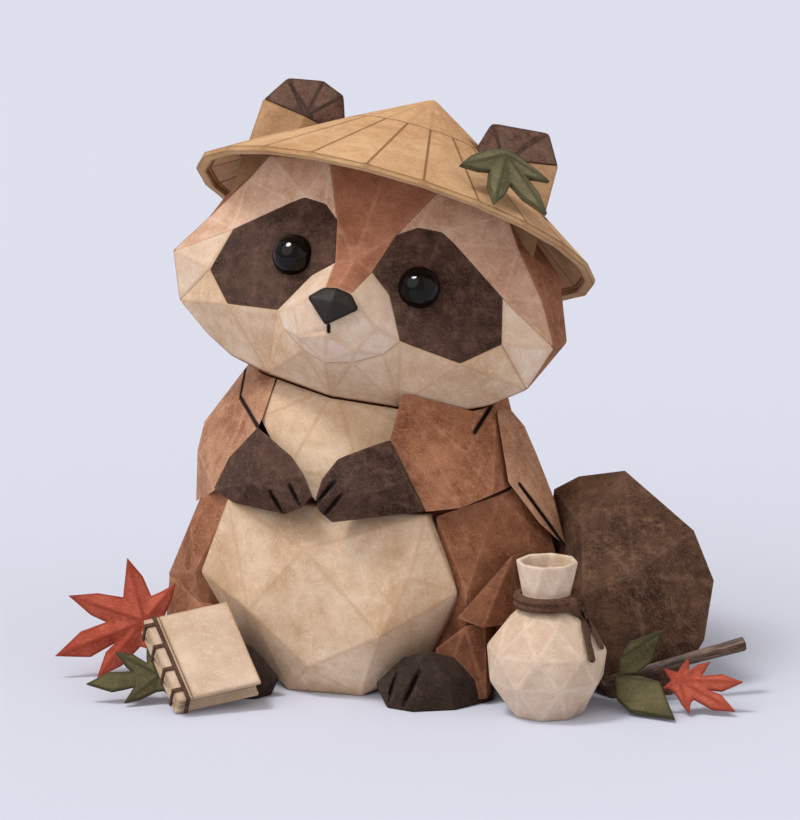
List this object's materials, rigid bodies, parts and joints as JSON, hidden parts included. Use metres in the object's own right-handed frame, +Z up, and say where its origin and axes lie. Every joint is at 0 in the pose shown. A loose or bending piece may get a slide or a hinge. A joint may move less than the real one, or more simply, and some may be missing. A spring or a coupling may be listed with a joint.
{
  "type": "paper tanuki ornament",
  "caption": "Seated folded-paper tanuki with a conical straw hat, a tied pouch, a sewn account book, maple leaves and a twig; the hat lifts and the book opens.",
  "frame": {"origin": "middle of the body's base card, on the table that everything stands on", "axes": "+Z up; -Y to the front of the belly, +X to the tanuki's own left; the face is turned and the reference view is taken from 18 degrees towards +X"},
  "size_m": [0.1335, 0.0943, 0.1124],
  "materials": {
    "cream_paper": "matte",
    "brown_paper": "matte",
    "dark_brown_paper": "matte",
    "tail_paper": "matte",
    "brow_paper": "matte",
    "leg_paper": "matte",
    "stripe_paper": "matte",
    "pale_paper": "matte",
    "nose_paper": "matte",
    "plain_card": "matte",
    "hat_paper": "matte",
    "rim_paper": "matte",
    "eye_glass": "gloss",
    "green_paper": "matte",
    "dark_green_paper": "matte",
    "red_paper": "matte",
    "pouch_paper": "matte",
    "cord": "matte",
    "book_paper": "matte",
    "leaves_paper": "matte",
    "twig_wood": "matte"
  },
  "bodies": {
    "tanuki": {"base_card": "plain_card", "body_shell": "brown_paper", "neck_tube": "plain_card", "chest_panel": "cream_paper", "belly_panel": "cream_paper", "haunch_left": "brown_paper", "haunch_right": "brown_paper", "thigh_left": "brown_paper", "thigh_right": "brown_paper", "lower_leg_left": "leg_paper", "foot_left": "dark_brown_paper", "foot_right": "dark_brown_paper", "arm_left": "brown_paper", "arm_right": "brown_paper", "paw_left": "dark_brown_paper", "paw_right": "dark_brown_paper", "back_flap": "brown_paper", "tail": "tail_paper", "head_core": "plain_card", "head_back": "brown_paper", "forehead_stripe": "stripe_paper", "brow_left": "brow_paper", "brow_right": "brow_paper", "mask_left": "dark_brown_paper", "mask_right": "dark_brown_paper", "cheek_left": "pale_paper", "cheek_right": "pale_paper", "jaw": "cream_paper", "muzzle": "pale_paper", "nose": "nose_paper", "eye_left": "eye_glass", "eye_right": "eye_glass", "ear_base_left": "stripe_paper", "ear_base_right": "stripe_paper", "ear_tip_left": "dark_brown_paper", "ear_tip_right": "dark_brown_paper"},
    "hat": {"hat_cone": "hat_paper", "hat_rim": "rim_paper", "hat_seat": "plain_card", "hat_leaf": "green_paper"},
    "pouch": {"pouch": "pouch_paper", "pouch_cord": "cord"},
    "book": {"book_pages": "leaves_paper", "book_back_cover": "book_paper", "book_spine_strip": "book_paper", "book_thread": "cord"},
    "cover": {"book_front_cover": "book_paper"},
    "twig": {"twig": "twig_wood", "twig_leaf_upper": "dark_green_paper", "twig_leaf_lower": "dark_green_paper", "red_leaf_small": "red_paper"},
    "red_leaf": {"red_leaf_large": "red_paper"},
    "green_leaf": {"green_leaf_ground": "dark_green_paper"}
  },
  "joints": [
    {"name": "hat_lift", "type": "slide", "parent": "tanuki", "child": "hat", "axis": [0.1406, 0.4992, 0.855], "range_m": [0, 0.055]},
    {"name": "pouch_lift", "type": "slide", "parent": "tanuki", "child": "pouch", "axis": [0.4214, -0.3813, 0.8228], "range_m": [0, 0.11]},
    {"name": "book_lift", "type": "slide", "parent": "tanuki", "child": "book", "axis": [0, 0, 1], "range_m": [0, 0.11]},
    {"name": "cover_hinge", "type": "hinge", "parent": "book", "child": "cover", "pos_m": [-0.01831, -0.0528, 0.00388], "axis": [0.5412, -0.5558, -0.631], "range_deg": [0, 85]},
    {"name": "twig_lift", "type": "slide", "parent": "tanuki", "child": "twig", "axis": [0.5535, -0.3522, 0.7547], "range_m": [0, 0.06]},
    {"name": "red_leaf_lift", "type": "slide", "parent": "tanuki", "child": "red_leaf", "axis": [0, 0, 1], "range_m": [0, 0.11]},
    {"name": "green_leaf_lift", "type": "slide", "parent": "tanuki", "child": "green_leaf", "axis": [-0.8955, 0.199, 0.398], "range_m": [0, 0.08]}
  ]
}
